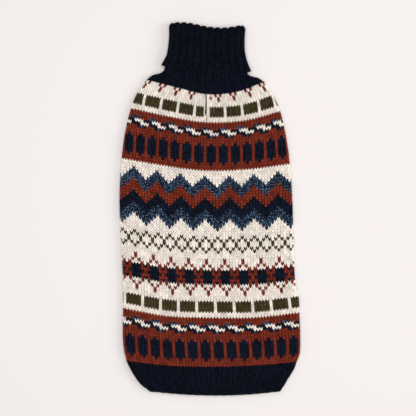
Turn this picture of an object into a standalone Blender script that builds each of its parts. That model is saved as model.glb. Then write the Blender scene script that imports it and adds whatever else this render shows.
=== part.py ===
"""Knitted dog sweater, lying flat with its back up and its roll collar towards +Y.

Lengths are in millimetres until MM turns them into metres. X runs from the left side fold to the
right one, Y from the hem to the collar, and the sweater lies on the plane Z = 0. Every piece is a
wall between an outer and an inner run of points, read from rows that each give one line of knitting.
"""
from bisect import bisect_right
from collections import namedtuple
import math

import bmesh
import bpy

MM = 0.001
OBJECT = "dog_sweater"

WALL = 3.0  # thickness of the knit, floats included
SEAM_GAP = 0.3  # clear distance between two pieces at a seam
LAYER_GAP = 0.3  # clear distance between two layers that lie on each other
RIB_RISE = 0.9  # how far a knit rib stands over the purl between two ribs
FOLD_STEPS = 4  # facets round a side fold
SHARP_ANGLE = 50  # an edge turned further than this, in degrees, is shaded sharp

BODY_COURSES = (0, 2, 5, 9, 14, 19, 24, 29, 34, 39, 44, 49, 54, 59, 64, 69, 74, 79, 84, 89, 95, 100)
BACK_COLUMNS = 16  # facets across the top layer
BELLY_COLUMNS = 12
SEAM_SHARE = 0.12  # where the side seams run underneath, as a share of the flat width

SLIT_LENGTH = 34.0  # leash slit, open at the collar seam
SLIT_WIDTH = 1.0
SLIT_X = -6.3  # between the middle two stitches

LEG_HOLE_WIDTH = 44.0  # clear opening inside the leg band
LEG_HOLE_LENGTH = 58.0
LEG_BAND = 10.0  # width of the rib round a leg opening
LEG_FROM_MIDDLE = 54.0
LEG_MIDDLE_X = -6.8
LEG_Y = 88.0
LEG_FACETS = 32

COLLAR_RIBS = 11  # on one side of the collar
HEM_RIBS = 14  # on one side of the hem
RIB_SHAPE = ((0.0, 0.0), (0.15, 1.0), (0.6, 1.0), (0.75, 0.0))  # place in one repeat, share of the rise

# One line of knitting across the flat sweater: where it meets the two folds, how far it sags below
# the straight line between them at a quarter, a half and three quarters, and how high it lies.
Row = namedtuple("Row", "left left_y right right_y sag_left sag_mid sag_right height")

# The body, by course counted from the hem seam.
BODY_ROWS = (
    # course     left   left_y  right  right_y  sags              height
    (0, Row(-125.5, -226.5, 131.1, -231.5, 6.0, 7.3, 3.5, 8.8)),
    (3, Row(-128.8, -213.2, 135.2, -218.6, 6.7, 8.1, 4.5, 9.4)),
    (8, Row(-130.9, -191.0, 135.9, -197.1, 8.0, 9.4, 6.2, 9.8)),
    (18, Row(-130.6, -146.4, 134.6, -154.2, 10.4, 12.0, 9.6, 9.4)),
    (23, Row(-130.6, -126.0, 133.7, -134.1, 9.6, 11.4, 8.7, 9.2)),
    (28, Row(-130.8, -105.5, 128.9, -114.0, 8.9, 10.9, 7.9, 9.0)),
    (39, Row(-132.7, -60.8, 126.0, -69.8, 7.2, 9.6, 6.0, 9.0)),
    (49, Row(-135.1, -17.7, 125.3, -25.9, 7.3, 10.5, 7.2, 9.0)),
    (59, Row(-135.9, 25.2, 123.9, 17.8, 7.3, 11.5, 8.3, 9.0)),
    (69, Row(-133.3, 68.4, 121.1, 61.6, 7.4, 12.4, 9.5, 9.0)),
    (79, Row(-128.5, 109.9, 115.5, 104.5, 9.2, 15.6, 11.8, 9.2)),
    (89, Row(-118.6, 151.5, 105.5, 147.3, 11.0, 18.9, 14.1, 9.2)),
    (95, Row(-108.9, 175.2, 94.4, 172.5, 12.1, 21.1, 16.0, 9.0)),
    (100, Row(-94.8, 195.0, 81.9, 193.5, 13.1, 23.0, 17.6, 8.8)),
)

# The hem, from its seam to its cast-on edge.
HEM_ROWS = (
    Row(-125.5, -226.5, 131.1, -231.5, 6.0, 7.3, 3.5, 8.8),
    Row(-118.6, -241.5, 126.2, -242.2, 5.9, 7.8, 4.8, 8.6),
    Row(-109.3, -256.4, 117.5, -256.4, 5.7, 7.2, 5.4, 8.4),
    Row(-101.5, -265.1, 112.4, -265.1, 5.1, 6.5, 5.0, 8.3),
    Row(-91.3, -272.9, 107.4, -272.2, 4.4, 5.8, 4.4, 8.2),
)

# The yoke, from the body seam up to the turned-down edge, each row with its inset from the outline.
YOKE_ROWS = (
    (0.0, Row(-94.8, 195.0, 81.9, 193.5, 13.1, 23.0, 17.6, 8.8)),
    (0.6, Row(-86.8, 200.8, 74.4, 196.8, 9.5, 16.5, 12.8, 9.6)),
    (1.8, Row(-76.9, 203.8, 66.2, 199.2, 5.0, 8.7, 6.9, 11.0)),
    (WALL + LAYER_GAP, Row(-71.8, 209.3, 60.8, 202.5, 3.3, 4.8, 3.9, 12.8)),
)

# The outside of the turned-down layer, from its edge up to the fold.
ROLL_ROWS = (
    Row(-72.4, 214.8, 61.2, 205.1, 2.4, 4.9, 2.6, 13.2),
    Row(-66.0, 227.4, 56.0, 219.0, 1.8, 3.5, 1.8, 13.2),
    Row(-63.4, 239.4, 52.8, 234.0, 1.0, 2.0, 1.0, 13.2),
    Row(-61.6, 256.6, 51.8, 249.0, 0.0, 0.7, 0.5, 13.2),
    Row(-60.9, 272.9, 52.4, 267.6, -3.1, 0.4, 1.0, 13.0),
)
ROLL_FOLD_ANGLES = (45, 90, 135)  # facets round the top fold, in degrees

# One place round a row: the part of the row, how far along it, a sideways nudge and the rib there.
Place = namedtuple("Place", "part share nudge rib", defaults=(0.0, 0.0))


def through(knots, at):
    """Read a smooth curve through (position, value) knots at one position."""
    places = [place for place, _ in knots]
    start = min(max(bisect_right(places, at) - 1, 0), len(knots) - 2)

    def slope(index):
        low = knots[max(index - 1, 0)]
        high = knots[min(index + 1, len(knots) - 1)]
        return (high[1] - low[1]) / (high[0] - low[0])

    (x0, y0), (x1, y1) = knots[start], knots[start + 1]
    span = x1 - x0
    t = (at - x0) / span
    return (
        y0 * (1 + 2 * t) * (1 - t) ** 2
        + slope(start) * span * t * (1 - t) ** 2
        + y1 * t * t * (3 - 2 * t)
        + slope(start + 1) * span * t * t * (t - 1)
    )


def body_row(course):
    """The row of the body at any course."""
    return Row(*(
        through([(key, row[column]) for key, row in BODY_ROWS], course)
        for column in range(len(Row._fields))
    ))


def row_y(row, x):
    """Height of a row up the sweater at one place across it."""
    middle = (row.left + row.right) / 2
    half = (row.right - row.left) / 2
    across = min(max((x - middle) / half, -1.0), 1.0)
    straight = row.left_y + (row.right_y - row.left_y) * (across + 1) / 2
    sags = ((-1.0, 0.0), (-0.5, row.sag_left), (0.0, row.sag_mid), (0.5, row.sag_right), (1.0, 0.0))
    return straight - through(sags, across)


def row_points(row, places, inset=0.0, advance=0.0, lift=0.0, push=0.0):
    """Points of a row at its places, inset into the cloth and moved up the sweater by advance.

    A place that lies on a rib is raised by lift, and pushed up the sweater by push.
    """
    radius = row.height / 2
    flat = row.right - row.left - row.height
    points = []
    for place in places:
        if place.part == "top":
            x = row.left + radius + place.share * flat + place.nudge
            z = row.height - inset
        elif place.part == "under":
            x = row.left + radius + place.share * flat + place.nudge
            z = inset
        else:
            turn = math.pi * (place.share - 0.5)
            reach = (radius - inset) * math.cos(turn)
            x = row.left + radius - reach if place.part == "left" else row.right - radius + reach
            z = radius + (radius - inset) * math.sin(turn)
        y = row_y(row, x) + advance + push * place.rib
        points.append((x, y, z + lift * place.rib))
    return points


def shares(steps, low=0.0, high=1.0):
    """Evenly spaced shares, with both ends."""
    return [low + (high - low) * step / steps for step in range(steps + 1)]


def fold_places(side, rising):
    """Places round a side fold, between its bottom and its top."""
    inner = shares(FOLD_STEPS)[1:-1]
    return [Place(side, share) for share in (inner if rising else reversed(inner))]


def rib_places(repeats):
    """Places across the top layer of a rib, with each rib's corners."""
    places = [
        Place("top", (repeat + along) / repeats, rib=rise)
        for repeat in range(repeats)
        for along, rise in RIB_SHAPE
    ]
    return places + [Place("top", 1.0)]


def round_places(repeats, under_steps=8):
    """Places all round a ribbed tube: over the top, round the right fold, underneath and back."""
    under = [Place("under", share) for share in reversed(shares(under_steps))]
    return rib_places(repeats) + fold_places("right", False) + under + fold_places("left", True)


def mesh_object(name, rings, material, closed, collection):
    """Skin a run of rings into one closed solid.

    A closed run joins its last ring to its first. An open one is a wall whose rings hold the outer
    points and then the inner ones backwards, so each end is closed by a strip between the two.
    """
    mesh = bmesh.new()
    rows = [[mesh.verts.new([value * MM for value in point]) for point in ring] for ring in rings]
    around = len(rows[0])
    pairs = list(zip(rows, rows[1:]))
    if closed:
        pairs.append((rows[-1], rows[0]))
    for low, high in pairs:
        for k in range(around):
            after = (k + 1) % around
            mesh.faces.new((low[k], low[after], high[after], high[k]))
    if not closed:
        for end in (rows[0], rows[-1]):
            for k in range(around // 2 - 1):
                mesh.faces.new((end[k], end[k + 1], end[around - 2 - k], end[around - 1 - k]))
    bmesh.ops.recalc_face_normals(mesh, faces=mesh.faces)
    data = bpy.data.meshes.new(name)
    mesh.to_mesh(data)
    mesh.free()
    data.shade_smooth()
    data.set_sharp_from_angle(angle=math.radians(SHARP_ANGLE))
    data.materials.append(material)
    solid = bpy.data.objects.new(name, data)
    collection.objects.link(solid)
    return solid


def wool(name, colour):
    """A plain wool finish of one colour."""
    material = bpy.data.materials.new(name)
    material.use_nodes = True
    shader = material.node_tree.nodes["Principled BSDF"]
    shader.inputs["Base Color"].default_value = (*colour, 1.0)
    shader.inputs["Roughness"].default_value = 0.9
    shader.inputs["Metallic"].default_value = 0.0
    return material


def panel_rings(places):
    """Rings of a body panel: the outer points of each course, then the inner ones backwards."""
    rings = []
    for course in BODY_COURSES:
        clear = {BODY_COURSES[0]: SEAM_GAP / 2, BODY_COURSES[-1]: -SEAM_GAP / 2}.get(course, 0.0)
        row = body_row(course)
        outer = row_points(row, places, advance=clear)
        inner = row_points(row, places, inset=WALL, advance=clear)
        rings.append(outer + inner[::-1])
    return rings


def back_panel(material, collection, cutters):
    """The back: it lies on top, turns round both side folds and is slit for the leash."""
    clear = SEAM_GAP / 2
    places = (
        [Place("under", SEAM_SHARE, -clear), Place("under", SEAM_SHARE / 2), Place("under", 0.0)]
        + fold_places("left", True)
        + [Place("top", share) for share in shares(BACK_COLUMNS)]
        + fold_places("right", False)
        + [Place("under", 1.0), Place("under", 1 - SEAM_SHARE / 2)]
        + [Place("under", 1 - SEAM_SHARE, clear)]
    )
    back = mesh_object("back_panel", panel_rings(places), material, False, collection)
    seam = body_row(BODY_COURSES[-1])
    low = row_y(seam, SLIT_X) - SLIT_LENGTH
    high = row_y(seam, SLIT_X) + WALL
    size = (SLIT_WIDTH, high - low, seam.height)
    centre = (SLIT_X, (low + high) / 2, seam.height)
    bpy.ops.mesh.primitive_cube_add(size=1, location=[value * MM for value in centre])
    knife = bpy.context.object
    knife.name = "slit_cutter"
    knife.scale = [value * MM for value in size]
    cut_with(back, knife, cutters)


def cut_with(solid, knife, cutters):
    """Subtract a cutter from a solid, and keep the cutter out of sight."""
    for owner in list(knife.users_collection):
        owner.objects.unlink(knife)
    cutters.objects.link(knife)
    knife.hide_render = True
    knife.display_type = "WIRE"
    cut = solid.modifiers.new(knife.name, "BOOLEAN")
    cut.operation = "DIFFERENCE"
    cut.object = knife


def belly_panel(material, collection, cutters):
    """The belly: flat on the ground between the side seams, with two oval leg openings."""
    clear = SEAM_GAP / 2
    across = shares(BELLY_COLUMNS, SEAM_SHARE, 1 - SEAM_SHARE)
    nudges = [clear] + [0.0] * (BELLY_COLUMNS - 1) + [-clear]
    places = [Place("under", share, nudge) for share, nudge in zip(across, nudges)]
    belly = mesh_object("belly_panel", panel_rings(places), material, False, collection)
    for side, x in leg_centres():
        bpy.ops.mesh.primitive_cylinder_add(
            vertices=LEG_FACETS, radius=1, depth=4 * WALL * MM, location=(x * MM, LEG_Y * MM, 0)
        )
        knife = bpy.context.object
        knife.name = f"leg_cutter_{side}"
        reach = LEG_BAND + SEAM_GAP
        knife.scale = ((LEG_HOLE_WIDTH / 2 + reach) * MM, (LEG_HOLE_LENGTH / 2 + reach) * MM, 1)
        cut_with(belly, knife, cutters)


def leg_centres():
    """Each leg opening's side and its middle across the belly."""
    return (("left", LEG_MIDDLE_X - LEG_FROM_MIDDLE), ("right", LEG_MIDDLE_X + LEG_FROM_MIDDLE))


def leg_band(side, x, material, collection):
    """A flat oval band of rib, rounded over on its upper side."""
    round_over = WALL / 3
    profile = (
        (0.0, 0.0), (LEG_BAND, 0.0), (LEG_BAND, WALL - round_over), (LEG_BAND - round_over, WALL),
        (round_over, WALL), (0.0, WALL - round_over),
    )
    rings = []
    for reach, z in profile:
        turns = [2 * math.pi * facet / LEG_FACETS for facet in range(LEG_FACETS)]
        wide, long = LEG_HOLE_WIDTH / 2 + reach, LEG_HOLE_LENGTH / 2 + reach
        rings.append([(x + wide * math.cos(a), LEG_Y + long * math.sin(a), z) for a in turns])
    mesh_object(f"leg_band_{side}", rings, material, True, collection)


def hem_rib(material, collection):
    """The hem: a ribbed tube, open at its cast-on edge, drawn in by about a quarter of its width."""
    places = round_places(HEM_RIBS)
    clear = [-SEAM_GAP / 2] + [0.0] * (len(HEM_ROWS) - 1)
    outer = [
        row_points(row, places, advance=shift, lift=RIB_RISE) for row, shift in zip(HEM_ROWS, clear)
    ]
    inner = [
        row_points(row, places, inset=WALL, advance=shift) for row, shift in zip(HEM_ROWS, clear)
    ]
    mesh_object("hem_rib", outer + inner[::-1], material, True, collection)


def roll_collar(material, collection):
    """The collar: a flared yoke, a stand inside, and a layer turned down over both."""
    places = round_places(COLLAR_RIBS)
    stand = WALL + LAYER_GAP  # inset of the stand's outer side
    fold = ROLL_ROWS[-1]
    fold_radius = WALL + LAYER_GAP / 2
    clear = [SEAM_GAP / 2] + [0.0] * (len(YOKE_ROWS) - 1)
    yoke_outer = [
        row_points(row, places, inset, shift, lift=RIB_RISE)
        for (inset, row), shift in zip(YOKE_ROWS, clear)
    ]
    stand_outer = [row_points(row, places, stand) for row in ROLL_ROWS]
    roll_inner = [row_points(row, places, WALL) for row in reversed(ROLL_ROWS)]
    roll_outer = [row_points(row, places, lift=RIB_RISE) for row in ROLL_ROWS]
    top_fold = []
    for degrees in ROLL_FOLD_ANGLES:
        turn = math.radians(degrees)
        rise = RIB_RISE * (1 + math.cos(turn)) / 2
        top_fold.append(row_points(
            fold, places, inset=fold_radius * (1 - math.cos(turn)), advance=fold_radius * math.sin(turn),
            lift=rise * math.cos(turn), push=rise * math.sin(turn),
        ))
    stand_inner = [row_points(row, places, stand + WALL) for row in reversed(ROLL_ROWS)]
    yoke_inner = [
        row_points(row, places, inset + WALL, shift)
        for (inset, row), shift in reversed(list(zip(YOKE_ROWS, clear)))
    ]
    rings = (
        yoke_outer + stand_outer + roll_inner + roll_outer + top_fold + stand_inner + yoke_inner
    )
    mesh_object("roll_collar", rings, material, True, collection)


def new_collection(name):
    """A collection of the scene."""
    collection = bpy.data.collections.new(name)
    bpy.context.scene.collection.children.link(collection)
    return collection


def main():
    """Clear the scene and knit the sweater."""
    for leftover in list(bpy.data.objects):
        bpy.data.objects.remove(leftover)
    parts = new_collection(OBJECT)
    cutters = new_collection("cutters")
    back_wool = wool("back_wool", (0.45, 0.24, 0.16))
    belly_wool = wool("belly_wool", (0.72, 0.62, 0.5))
    rib_wool = wool("rib_wool", (0.012, 0.016, 0.032))
    back_panel(back_wool, parts, cutters)
    belly_panel(belly_wool, parts, cutters)
    roll_collar(rib_wool, parts)
    hem_rib(rib_wool, parts)
    for side, x in leg_centres():
        leg_band(side, x, rib_wool, parts)


main()
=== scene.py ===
"""Looks of a knitted dog sweater that lies flat with its back up.

Lengths are in millimetres until MM turns them into metres. X runs from the left side fold to the
right one, Y from the hem to the collar, and the floor is at Z = 0. Each stretch of knitting is a map
from courses and wales to space. A thin cloth is laid out on that map, and Geometry Nodes set one
stitch of wool on each of its cells.
"""
from __future__ import annotations

import logging
import math
from dataclasses import asdict, dataclass, field, replace
from enum import Enum
from typing import Any, Callable, NamedTuple, Sequence

import bpy
import numpy as np
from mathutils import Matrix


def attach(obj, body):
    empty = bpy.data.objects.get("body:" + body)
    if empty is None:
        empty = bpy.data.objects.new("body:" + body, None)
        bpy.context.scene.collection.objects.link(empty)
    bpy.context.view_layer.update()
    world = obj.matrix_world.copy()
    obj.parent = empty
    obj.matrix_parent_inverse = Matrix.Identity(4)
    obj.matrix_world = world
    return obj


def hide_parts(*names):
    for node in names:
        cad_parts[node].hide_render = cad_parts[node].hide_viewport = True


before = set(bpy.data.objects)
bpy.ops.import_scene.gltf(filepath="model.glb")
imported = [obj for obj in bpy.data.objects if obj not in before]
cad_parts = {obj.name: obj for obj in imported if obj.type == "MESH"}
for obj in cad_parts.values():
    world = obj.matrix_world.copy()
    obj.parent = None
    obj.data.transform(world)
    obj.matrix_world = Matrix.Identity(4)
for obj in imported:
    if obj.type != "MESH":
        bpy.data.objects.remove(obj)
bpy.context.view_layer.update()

log = logging.getLogger("dog_sweater")

MM = 0.001
BODY = "root"

WALL = 3.0  # thickness of the knit, floats included
LAYER_GAP = 0.3  # between the stand and the layer turned down over it
SKIN_DEPTH = 1.6  # how far the cloth lies under the crests of its stitches
LINING_DEPTH = 2.8  # how far its wrong side lies under them
LINING_PAINTED_SHADE = 0.07  # painted shade: how dark the wrong side is painted, for the shade inside the sweater that shows through the slit
SEAM_SHARE = 0.12  # where the side seams run underneath, as a share of the flat width
RIB_RISE = 0.9  # how far the ribs stand out from the valleys between them
STITCH_DEPTH = 3.0  # depth of one unit of a stitch's form

LAST_COURSE = 100
SLIT_WALE = 29
SLIT_COURSE = 91  # the slit runs from here up to the collar seam
SLIT_WIDTH = 2.6
SLIT_CLOSING = 0.2  # share by which it is narrower towards the collar
SLIT_TAPER = (SLIT_COURSE + 3, SLIT_COURSE + 6)  # courses between which it narrows
SLIT_SLIP = 2.0  # how far it lies to the left of its wales
SLIT_SPREAD = 0.8  # wales over which its opening fades, and courses over which it begins
SLIT_NUDGE = 1e-4  # keeps the wales of its two edges apart

LEG_MIDDLE_X = -6.8  # middle line of the belly between the legs
LEG_FROM_MIDDLE = 54.0

RIB_COURSE = 3.75  # height of one course of rib
RIB_WALE = 0.32  # width of a knit wale, as a share of one rib repeat
RIB_WALES = (0.19, 0.56)  # middles of the two knit wales of a repeat
PURL_WALE = 0.25
PURL_MIDDLE = 0.875
RIB_FACETS = 6  # facets of the cloth across one rib repeat
RIB_SLOPES = ((-0.06, 0.14), (0.61, 0.81), (0.94, 1.14))  # where a rib rises, falls, and rises again
LINING_RELIEF = 0.5  # share of the ribs that the wrong side has

CLOTH_PAINTED_SHADE = 0.45  # painted shade: how dark the cloth is painted where it shows between its stitches
CLOTH_FLECK = 0.5
PURL_PAINTED_SHADE = 0.7  # painted shade on the purl wales, which lie deep between the ribs
# painted shade on the chain along the rib edges, for the shadow line at those edges
CHAIN_PAINTED_SHADE = 0.6
UNEVEN_LIMITS = (-1.8, 2.2)  # how far a stitch may be off its wool's mean shade

DIRECTION_SPAN = 0.1  # wales or rib repeats over which the direction of a surface is taken
SHARP_ANGLE = 60.0  # edges of a cloth that turn more, in degrees, stay sharp

FOLD_RADIUS = WALL + LAYER_GAP / 2  # of the outer surface round the collar's top fold

Array = np.ndarray


class Row(NamedTuple):
    """One line of knitting across the flat sweater.

    It has the places where it meets the two folds, how far it sags below the straight line between
    them at a quarter, a half and three quarters, and how high it lies.
    """

    left: float
    left_y: float
    right: float
    right_y: float
    sag_left: float
    sag_mid: float
    sag_right: float
    height: float


# The body: course, row, and the wales that lie on the left and the right fold.
BODY_ROWS = (
    (0, Row(-125.5, -227.5, 131.1, -229.2, 6.8, 8.1, 5.5, 8.8), -0.4, 57.2),
    (3, Row(-128.8, -214.2, 135.2, -216.3, 7.6, 9.0, 6.5, 9.4), -0.4, 57.2),
    (8, Row(-130.9, -192.5, 135.9, -196.1, 7.8, 9.2, 6.6, 9.8), -0.4, 57.3),
    (18, Row(-130.6, -148.2, 134.6, -155.3, 10.2, 11.1, 9.0, 9.4), -0.5, 57.9),
    (23, Row(-130.6, -128.0, 133.7, -134.9, 10.0, 11.1, 8.8, 9.2), -0.55, 58.25),
    (28, Row(-130.8, -106.9, 128.9, -114.7, 9.7, 10.6, 8.8, 9.0), -0.6, 58.0),
    (39, Row(-132.7, -60.1, 126.0, -69.7, 7.4, 9.6, 6.4, 9.0), -0.7, 57.9),
    (49, Row(-135.1, -18.3, 125.3, -28.2, 6.8, 9.3, 5.8, 9.0), -0.7, 57.8),
    (59, Row(-135.9, 24.2, 123.9, 15.9, 7.4, 11.0, 7.7, 9.0), -0.6, 57.7),
    (69, Row(-133.3, 68.2, 121.1, 59.4, 8.6, 13.9, 9.9, 9.0), -0.5, 57.5),
    (79, Row(-128.5, 109.5, 115.5, 103.8, 8.5, 15.7, 12.1, 9.2), 0.1, 57.0),
    (89, Row(-118.6, 151.6, 105.5, 147.4, 11.2, 19.1, 15.3, 9.2), 1.8, 55.6),
    (95, Row(-108.9, 174.9, 94.4, 171.6, 10.9, 19.4, 16.1, 9.0), 2.9, 54.2),
    (100, Row(-94.8, 194.3, 81.9, 191.5, 10.6, 20.0, 16.4, 8.8), 3.2, 53.6),
)

# How far each row of the body has slipped to the right, at four places across it.
BODY_SLIPS = (
    (0, -0.2, -0.8, 1.7, 1.0),
    (3, -0.2, -0.8, 1.7, 1.0),
    (8, 0.2, -0.8, 1.0, 0.5),
    (18, -0.4, -2.0, -0.6, -0.0),
    (23, 0.0, -1.6, -0.5, -0.1),
    (28, 1.1, -0.4, -0.2, 0.3),
    (39, 0.1, -1.4, -1.1, -0.5),
    (49, 0.5, -1.5, -1.2, -0.5),
    (59, 1.1, -1.1, -0.5, -0.5),
    (69, -0.9, -2.5, -0.6, 0.5),
    (79, -0.9, -1.6, 0.9, 1.7),
    (89, 0.5, 0.2, 1.0, 1.8),
    (95, 0.8, 1.6, 1.3, 2.1),
    (100, 1.0, 1.3, -0.2, 1.2),
)

# The hem, by course counted from its cast-on edge.
HEM_ROWS = (
    (0.0, Row(-91.3, -272.9, 107.4, -272.2, 4.4, 5.8, 4.4, 8.2)),
    (1.8, Row(-101.5, -265.1, 112.4, -265.1, 5.1, 6.5, 5.0, 8.3)),
    (3.9, Row(-109.3, -256.4, 117.5, -256.4, 5.7, 7.2, 5.4, 8.4)),
    (7.5, Row(-118.6, -241.5, 126.2, -242.2, 5.9, 7.8, 4.8, 8.6)),
    (11.0, Row(-125.5, -227.5, 131.1, -229.2, 6.8, 8.1, 5.5, 8.8)),
)

# The yoke, by course counted from the body seam, each row with its inset from the outline.
YOKE_ROWS = (
    (0.0, Row(-94.8, 194.3, 81.9, 191.5, 10.6, 20.0, 16.4, 8.8), 0.0),
    (3.2, Row(-86.8, 200.8, 74.4, 196.8, 9.5, 16.5, 12.8, 9.6), 0.6),
    (6.2, Row(-76.9, 203.8, 66.2, 199.2, 5.0, 8.7, 6.9, 11.0), 1.8),
    (8.6, Row(-71.8, 209.3, 60.8, 202.5, 3.3, 4.8, 3.9, 12.8), WALL + LAYER_GAP),
    (11.6, Row(-71.0, 220.0, 60.0, 213.0, 3.2, 4.6, 3.6, 13.0), WALL + LAYER_GAP),
)

# The turned-down layer, by course counted from the top fold to its edge.
ROLL_ROWS = (
    (0.0, Row(-61.2, 276.8, 52.7, 273.6, 0.3, 5.0, 5.9, 13.0)),
    (4.8, Row(-61.6, 256.6, 51.8, 249.0, 0.0, 0.7, 0.5, 13.2)),
    (9.4, Row(-63.4, 239.4, 52.8, 234.0, 1.0, 2.0, 1.0, 13.2)),
    (12.9, Row(-66.0, 229.4, 56.0, 221.0, 2.3, 4.2, 2.3, 13.2)),
    (17.3, Row(-72.4, 217.8, 61.2, 208.1, 3.2, 5.9, 3.4, 13.2)),
)
ROLL_EDGE = 17.3
FOLD_COURSES = math.pi * FOLD_RADIUS / RIB_COURSE
FOLD_CORNER = 4.0  # how far the top fold drops at its two ends
FOLD_CORNER_COURSES = 4.0  # courses below the fold that drop with it
FOLD_CORNER_POWER = 12  # the more, the nearer to its ends

# Columns of the rows that an outline gives: the values of Row, then those that its cloth adds.
LEFT, LEFT_Y, RIGHT, RIGHT_Y = range(4)
SAGS = slice(4, 7)
HEIGHT = 7
FIRST_WALE, LAST_WALE = 8, 9  # of the body
INSET = 8  # of a rib

SAG_KNOTS = np.array((-1.0, -0.5, 0.0, 0.5, 1.0))
SLIP_KNOTS = np.array((-1.0, -0.75, -0.25, 0.25, 0.75, 1.0))


# ---------------------------------------------------------------- wool and charts


@dataclass(frozen=True)
class Dye:
    """A dyed wool: its colour as 8-bit sRGB, the pale blue fleck spun in, and how uneven it is."""

    red: int
    green: int
    blue: int
    fleck: float = 0.0
    uneven: float = 0.1

    def linear(self, shade: float = 1.0) -> tuple[float, float, float, float]:
        """The colour in linear light.

        Args:
            shade: What the colour is multiplied by.

        Returns:
            Red, green, blue and an alpha of 1.
        """
        levels = (self.red, self.green, self.blue)
        red, green, blue = (((level / 255 + 0.055) / 1.055) ** 2.4 * shade for level in levels)
        return (red, green, blue, 1.0)


class Yarn(Enum):
    """The wools of the sweater."""

    CREAM = Dye(251, 242, 232, 0.0, 0.08)
    RUST = Dye(139, 55, 37, 0.0, 0.18)
    NAVY = Dye(14, 20, 37, 0.08, 0.4)
    HEATHER = Dye(12, 19, 34, 0.97, 0.3)
    OLIVE = Dye(82, 71, 44, 0.0, 0.22)
    RIB = Dye(10, 14, 31, 0.05, 0.5)
    TAN = Dye(172, 126, 84)


WOOLS = {"r": Yarn.RUST, "n": Yarn.NAVY, "h": Yarn.HEATHER, "c": Yarn.CREAM, "o": Yarn.OLIVE}


@dataclass(frozen=True)
class Motif:
    """A small repeat, with the wools of each of its courses from the lowest up."""

    rows: tuple[str, ...]
    shift: int = 0  # wale on which the repeat starts
    right_shift: int | None = None  # the same to the right of the slit, where it differs

    def yarn(self, course: int, wale: int) -> Yarn:
        """The wool of one stitch.

        Args:
            course: Its course, counted from the first one of the motif.
            wale: Its wale, counted from the left fold.

        Returns:
            Its wool.
        """
        row = self.rows[course]
        right = self.right_shift is not None and wale >= SLIT_WALE
        return WOOLS[row[(wale - (self.right_shift if right else self.shift)) % len(row)]]


# Rust stripes, navy windows pointed at both ends, and a slanting two-colour rope above them.
WINDOWS = Motif((
    "r", "r", "rrnr", *["rnnn"] * 6, "rrnr", "r", "r", "hnrrrn", "cccnnn", "cnnncc", "rrrhhh", "r", "r",
))
BLOCKS = ("cooooo",) * 4
HALF_STAR = ("rccccc", "rccccc", "crcccr", "ccrcrc", "nnrnrn", "nnrrrn", "nnnrnn")
STAR = (*HALF_STAR, *HALF_STAR[-2::-1])
DIAMONDS = Motif(("occc", "coco", "ccoc", "ccoc", "coco", "occc"))
# Nested zigzag stripes, each four courses deep and eight wales wide.
CHEVRONS = Motif(tuple("".join("chnrhc"[(up + abs(4 - over)) // 4] for over in range(8)) for up in range(20)))

# The back: the course on which each motif starts.
BANDS = (
    (0, WINDOWS), (20, Motif(BLOCKS)), (26, Motif(STAR, 4)), (41, DIAMONDS), (49, CHEVRONS),
    (71, WINDOWS), (91, Motif(BLOCKS, 0, 5)), (97, Motif(STAR, 4, 3)),
)
# Courses and wales left plain beside the slit, and the one rust stitch to the right of it.
PLAIN_PATCHES = ((range(91, 95), range(28, SLIT_WALE)), (range(97, 100), range(26, SLIT_WALE)))
LONE_STITCH = (98, 30)

BELLY_STRIPES = "rrccccccccrccnnccr"  # the back's solid courses, carried round
BELLY_OLIVE = (21, 22)


def back_chart(course: int, wale: int) -> Yarn:
    """The wool of one stitch of the back, cream where no motif lies.

    Args:
        course: Its course, counted from the hem.
        wale: Its wale, counted from the left fold.

    Returns:
        Its wool.
    """
    if (course, wale) == LONE_STITCH:
        return Yarn.RUST
    if any(course in courses and wale in wales for courses, wales in PLAIN_PATCHES):
        return Yarn.CREAM
    for first, motif in BANDS:
        if first <= course < first + len(motif.rows):
            return motif.yarn(course - first, wale)
    return Yarn.CREAM


def belly_chart(course: int) -> Yarn:
    """The wool of one course of the belly.

    Args:
        course: The course, counted from the hem.

    Returns:
        Its wool.
    """
    for first, motif in BANDS:
        if motif is WINDOWS and first <= course < first + len(BELLY_STRIPES):
            return WOOLS[BELLY_STRIPES[course - first]]
    return Yarn.OLIVE if course in BELLY_OLIVE else Yarn.CREAM


# ---------------------------------------------------------------- surfaces


def knot_shares(knots: Array, at: Array) -> Array:
    """Share that each knot has in a smooth curve through all of them.

    Args:
        knots: Rising places of the knots.
        at: Places where the curve is read.

    Returns:
        One row for each place read and one column for each knot.
    """
    count = len(knots)
    start = np.clip(np.searchsorted(knots, at, side="right") - 1, 0, count - 2)
    span = knots[start + 1] - knots[start]
    t = (at - knots[start]) / span
    shares = np.zeros((len(at), count))
    line = np.arange(len(at))
    np.add.at(shares, (line, start), (1 + 2 * t) * (1 - t) ** 2)
    np.add.at(shares, (line, start + 1), t * t * (3 - 2 * t))
    for knot, pull in ((start, t * (1 - t) ** 2), (start + 1, t * t * (t - 1))):
        low, high = np.maximum(knot - 1, 0), np.minimum(knot + 1, count - 1)
        slope = span * pull / (knots[high] - knots[low])
        np.add.at(shares, (line, high), slope)
        np.add.at(shares, (line, low), -slope)
    return shares


def smooth_step(low: float, high: float, value: Array) -> Array:
    """Ease from 0 at low to 1 at high."""
    t = np.clip((value - low) / (high - low), 0.0, 1.0)
    return t * t * (3 - 2 * t)


def lengths(vectors: Array) -> Array:
    """Length of each vector, in a last axis of its own."""
    return np.linalg.norm(vectors, axis=-1, keepdims=True)


def half_round(rows: Array) -> Array:
    """Way over the top of each row, from its left fold to its right one."""
    height = rows[:, HEIGHT]
    return rows[:, RIGHT] - rows[:, LEFT] - height + math.pi * height / 2


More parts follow.
